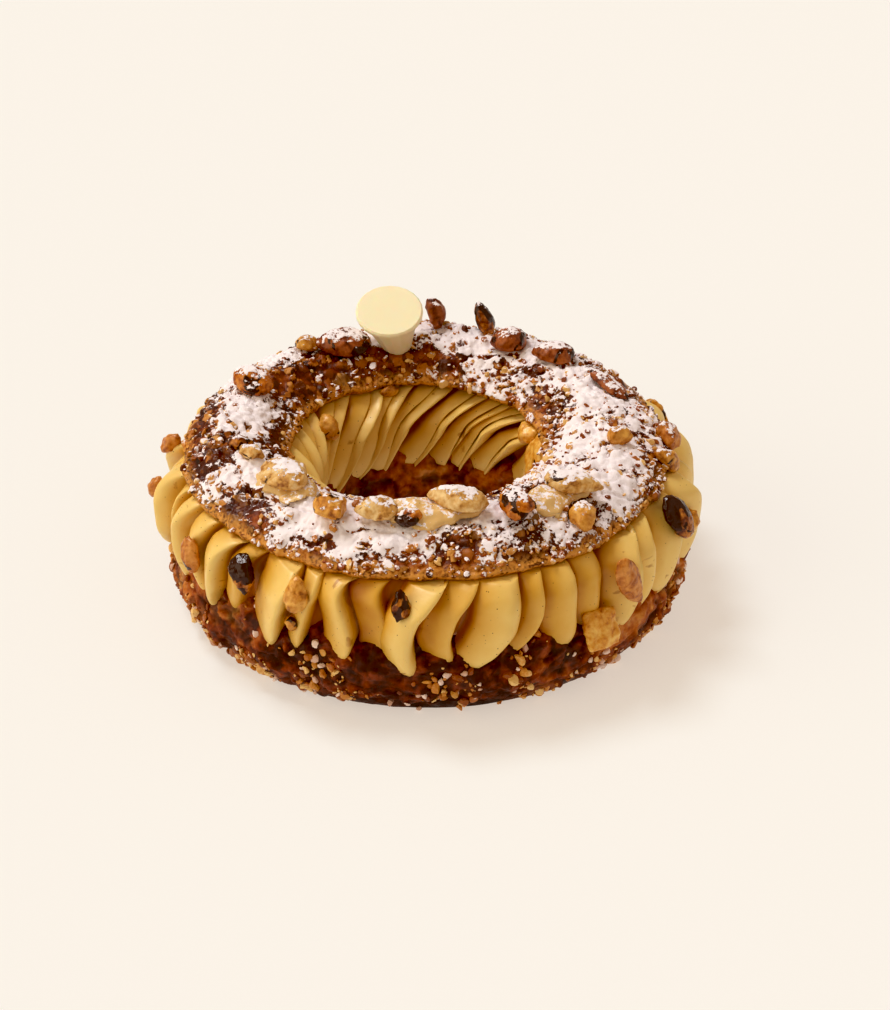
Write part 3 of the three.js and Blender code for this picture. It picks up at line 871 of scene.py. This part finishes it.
def nut_material(name, light, middle, dark, roughness, dust, burnt):
    """Roasted nut in patches, some of dark glossy caramel, with sugar on what faces up.

    dust is how much sugar there is, and burnt is how much of the nut is dark caramel.
    """
    shader = Shader(name, Specular_IOR_Level=0.5)
    patches = shader.noise(4.5, 3, distortion=0.8)
    level = shader.calc("MULTIPLY_ADD", shader.noise(1.2, 3), 0.4, patches)
    tone = shader.ramp(level, (0.46, dark), (0.64, middle), (0.86, light))
    glaze = shader.step(shader.noise(8.5, 3, distortion=0.6), 0.7 - 0.4 * burnt, 0.73 - 0.4 * burnt)
    tone = shader.mix(glaze, tone, colour("3A160A"))
    up = shader.calc("MULTIPLY_ADD", shader.facing_up(), 2.2, dust - 1.8)
    patchy = shader.calc("MULTIPLY_ADD", shader.noise(6, 2), 0.8, -0.4)
    shown = sugar_over(shader, tone, shader.calc("ADD", up, patchy))
    bare = shader.calc("MULTIPLY_ADD", glaze, 0.12 - roughness, roughness)
    shader.link(shader.calc("MAXIMUM", bare, shown), "Roughness")
    fine = shader.bump(shader.noise(0.7, 3), 0.2, 0.7)
    shader.link(shader.bump(shown, 0.4, 0.7, fine), "Normal")
    return shader.material


def bits_material(name, stops, roughness, dust):
    """Chopped nuts or grains, each in its own tone; dust is how much sugar lies on them."""
    shader = Shader(name, Specular_IOR_Level=0.5)
    level = shader.calc("MULTIPLY_ADD", shader.noise(0.9, 3), 0.35, shader.attribute("tone"))
    tone = shader.ramp(level, *stops)
    up = shader.calc("MULTIPLY_ADD", shader.facing_up(), 0.6, dust - 0.5)
    patchy = shader.calc("MULTIPLY_ADD", shader.noise(7, 2), 1.8, -0.9)
    shown = sugar_over(shader, tone, shader.calc("ADD", up, patchy))
    shader.link(shader.calc("MULTIPLY_ADD", shown, 0.9 - roughness, roughness), "Roughness")
    shader.link(shader.bump(shader.noise(0.6, 3), 0.12, 0.6), "Normal")
    return shader.material


def chocolate_material():
    shader = Shader("white_chocolate", Roughness=0.32, Subsurface_Weight=0.3, Subsurface_Scale=0.003)
    shader.link(shader.mix(shader.noise(9, 2), colour("F9EFCB"), colour("FBF2D3")), "Base Color")
    shader.link(shader.bump(shader.noise(2.5, 3), 0.05, 0.4), "Normal")
    return shader.material


def floor_material():
    """A pale floor with a warm glow of its own, so that shadows on it stay light and warm."""
    shader = Shader("pale_floor", Roughness=0.9, Specular_IOR_Level=0.0)
    shader.link(shader.mix(shader.noise(400, 1), colour("E7F7FE"), colour("E9F8FF")), "Base Color")
    glow = shader.new("Emission", {"Color": colour("FFF0E3"), "Strength": 1.04}).outputs[0]
    mixed = shader.new("MixShader", {0: FLOOR_GLOW, 1: shader.bsdf.outputs[0], 2: glow}).outputs[0]
    output = shader.tree.nodes["Material Output"]
    shader.tree.links.new(mixed, output.inputs["Surface"])
    return shader.material


# ------------------------------------------------------------------ the pastry


# Light, middle and dark tone, roughness, share of dark caramel.
NUT_TONES = {
    "pale": ("EED09A", "D2A15A", "8E5222", 0.42, 0.2),
    "golden": ("E8B45E", "C88838", "7E4016", 0.36, 0.33),
    "plain": ("F2C670", "DE9E40", "AC5E1C", 0.3, 0.0),
    "toasted": ("DA9A50", "BA7230", "803E14", 0.34, 0.15),
    "brown": ("B46A36", "8A4420", "541E0C", 0.36, 0.3),
    "caramel": ("D88E3C", "A85A1C", "54220C", 0.22, 0.48),
    "burnt": ("D08A3C", "7A3A16", "2A0E06", 0.18, 0.62),
}
SUGAR_ON_NUTS = {True: 0.4, False: -0.6}  # by whether the nut lies on the lid
NUT_COLOURS = {
    (tone, on_lid): nut_material(f"nut_{tone}{'_sugared' * on_lid}", *colours, dust, burnt)
    for tone, (*colours, burnt) in NUT_TONES.items()
    for on_lid, dust in SUGAR_ON_NUTS.items()
}
NUT_SLOTS = {s["node"]: s["material_slot"] for s in frame["record"]["subparts"]}
SLOT_COLOURS = {"nut": "golden", "nut_pale": "pale", "nut_caramel": "caramel", "nut_dark": "burnt"}
OTHER_TONES = {
    "almond_standing": "brown",
    "almond_back_left": "brown",
    "hazelnut_back_middle": "brown",
    "hazelnut_back_right": "brown",
    "almond_edge_right": "brown",
    "hazelnut_left_front": "toasted",
    "hazelnut_left": "toasted",
    "chunk_left_upper": "toasted",
    "almond_right_front": "toasted",
    "chunk_edge_right": "toasted",
    "flake_right_front": "plain",
    "flake_hole": "plain",
    "chunk_hole_upper": "plain",
}


def add_rings():
    base = choux_base()
    finish_piece(base, choux_material(), "choux", "choux_base")
    lid = choux_lid()
    finish_piece(lid, lid_material(), "crust", "choux_lid")
    cream = finish_piece(
        praline_cream(),
        # Crest, flank, crease and stain colours: painted light on the crests, painted shade in the
        # creases.
        cream_material("praline_cream", "EECE80", "DCAC4A", "B46E1A", "A46418"),
        "cream",
        "praline_cream",
    )
    return base, lid, cream


def add_nuts(rings, dabs):
    base, lid, cream = (surface_tree(ring) for ring in rings)
    under_nuts = {True: [lid, *map(surface_tree, dabs)], False: [base, cream]}
    for seed, (node, slot) in enumerate(sorted(NUT_SLOTS.items())):
        if slot not in SLOT_COLOURS:
            continue
        piece = refined(node, [(5, 0.4), (1.8, 0.26)], 1, 3.0 * seed)
        tone = OTHER_TONES.get(node, SLOT_COLOURS[slot])
        on_lid = bool(box_mm(node)[0][2] > LID["underside"])
        settle(piece, under_nuts[on_lid])
        finish_piece(piece, NUT_COLOURS[tone, on_lid], slot, node)


def add_dabs():
    material = cream_material("pale_cream", "F2DDB0", "E8C990", "E2BE82", "D0A464", 0.4)
    return [
        finish_piece(refined(node, [(8, 1.0), (3.5, 0.5)], 5), material, slot, node)
        for node, slot in NUT_SLOTS.items()
        if slot == "dab"
    ]


def add_chocolate():
    material = chocolate_material()
    for node in ("chocolate_disc", "disc_foot"):
        obj = frame["nodes"][node]
        obj.data.materials.clear()
        obj.data.materials.append(material)


# Tones of the bits, darkest first.
CARAMEL = [(0.15, "4E1C08"), (0.5, "964A1A"), (0.85, "CC8A3E"), (1.2, "EAC280")]
GOLDEN = [(0.15, "6E2E0E"), (0.5, "AE6424"), (0.85, "D89A48"), (1.2, "ECC684")]
PINKISH = [(0.0, "B98468"), (0.5, "DDB8A2"), (1.1, "F2DCD0")]


def lid_weight(points, normals):
    """Chopped nuts lie on the lid in drifts, most of them towards both edges and not at the left."""
    r = np.hypot(points[:, 0], points[:, 1])
    rim = smoothstep(66, 80, r) + 1.5 * smoothstep(79, 83, r) + 0.8 * smoothstep(56, 48, r)
    drifts = 0.3 + smoothstep(-0.2, 0.5, fractal(points, 11, 2, 61.0))
    fewer_left = 1 - 0.55 * smoothstep(-20, -60, points[:, 0])
    return (normals[:, 2] > -0.2) * (0.3 + rim) * drifts * fewer_left


def base_weight(points, normals):
    """They stick to the outside of the base, most of them low down and at the front left."""
    r = np.hypot(points[:, 0], points[:, 1])
    low = smoothstep(22, 5, points[:, 2])
    angle = np.arctan2(points[:, 1], points[:, 0])
    left = np.exp(-(((angle + 2.2) / 0.55) ** 2))
    drifts = smoothstep(-0.3, 0.6, fractal(points, 12, 2, 63.0))
    return (r > RING_RADIUS) * (normals[:, 2] > -0.8) * (0.3 + low * (0.5 + 1.3 * left)) * drifts


def add_bits(base, lid):
    dice = np.random.default_rng(3)
    on_lid = bits_material("chopped_nuts_sugared", CARAMEL, 0.4, 0.55)
    on_base = bits_material("chopped_nuts", GOLDEN, 0.35, -0.5)
    sugar = bits_material("sugar_grains", PINKISH, 0.3, -0.4)
    # Name, what they lie on, where they lie, how many, sizes in mm, look, slot.
    drifts = [
        ("lid_chopped_nuts", lid, lid_weight, 900, (2.2, 4.6), on_lid, "nut"),
        ("lid_crumbs", lid, lid_weight, 1300, (1.0, 2.2), on_lid, "nut"),
        ("base_chopped_nuts", base, base_weight, 560, (2.2, 5.6), on_base, "nut"),
        ("base_crumbs", base, base_weight, 1000, (1.0, 2.3), on_base, "nut"),
        ("sugar_grains", base, base_weight, 230, (2.4, 4.4), sugar, "nut_pale"),
    ]
    for seed, (name, ground, weight, count, (small, large), material, slot) in enumerate(drifts):
        points, normals = surface_samples(ground, weight, count, 71 + seed)
        sizes = small + (large - small) * dice.uniform(size=count) ** 1.7
        finish_piece(scatter(name, points, normals, sizes, 81 + seed), material, slot)


# ------------------------------------------------------------------ stage

# Name, direction that the light comes from, strength, width in degrees, tint.
SUNS = [
    ("key", (-0.38, 0.3, 0.88), 1.76, 22, "FCFDFF"),
    ("fill", (-0.86, -0.36, 0.36), 1.1, 60, "FFF8E0"),
    ("right_fill", (0.85, -0.3, 0.35), 0.4, 80, "FFF6EA"),
]
ROOM_TINT = "FFE6CC"
ROOM_STRENGTH = 0.43
CAMERA = dict(
    distance=0.9,  # metres
    elevation=30.5,
    target_height=0.025,
    right=0.0057,
    up=0.0037,
    lens=91.8,
    sensor=36,
)


def add_sun(name, direction, strength, degrees, tint):
    light = bpy.data.lights.new(name, "SUN")
    light.energy = strength
    light.angle = math.radians(degrees)
    light.color = colour(tint)[:3]
    obj = bpy.data.objects.new(name, light)
    bpy.context.scene.collection.objects.link(obj)
    obj.rotation_euler = Vector(direction).to_track_quat("Z", "Y").to_euler()


def add_stage():
    """The floor, the light of the room and the suns."""
    bpy.ops.mesh.primitive_plane_add(size=8, location=(0, 0, 0))
    floor = bpy.context.object
    floor.name = "floor"
    floor.data.materials.append(floor_material())

    world = bpy.data.worlds.new("studio")
    world.use_nodes = True
    background = world.node_tree.nodes["Background"]
    background.inputs["Color"].default_value = colour(ROOM_TINT)
    background.inputs["Strength"].default_value = ROOM_STRENGTH
    bpy.context.scene.world = world
    for sun in SUNS:
        add_sun(*sun)


def set_contrast():
    """Bright middle tones over deep shadows, as in studio photographs of food."""
    view = bpy.context.scene.view_settings
    view.view_transform = "Standard"
    view.gamma = 0.86
    view.use_curve_mapping = True
    view.curve_mapping.black_level = (0.006, 0.014, 0.018)
    view.curve_mapping.update()


def add_camera():
    """The camera looks along +Y, a little to the right of the ring's axis and above it."""
    data = bpy.data.cameras.new("camera")
    data.lens = CAMERA["lens"]
    data.sensor_width = CAMERA["sensor"]
    camera = bpy.data.objects.new("camera", data)
    bpy.context.scene.collection.objects.link(camera)
    tilt = math.radians(CAMERA["elevation"])
    back = Vector((0, -math.cos(tilt), math.sin(tilt)))
    upward = Vector((0, math.sin(tilt), math.cos(tilt)))
    target = Vector(AXIS * MM) + Vector((0, 0, CAMERA["target_height"]))
    camera.location = target + back * CAMERA["distance"] + upward * CAMERA["up"]
    camera.location.x += CAMERA["right"]
    camera.rotation_euler = (math.pi / 2 - tilt, 0, 0)
    bpy.context.scene.camera = camera


base, lid, cream = add_rings()
dabs = add_dabs()
add_nuts([base, lid, cream], dabs)
add_chocolate()
add_bits(base, lid)
add_stage()
set_contrast()
add_camera()
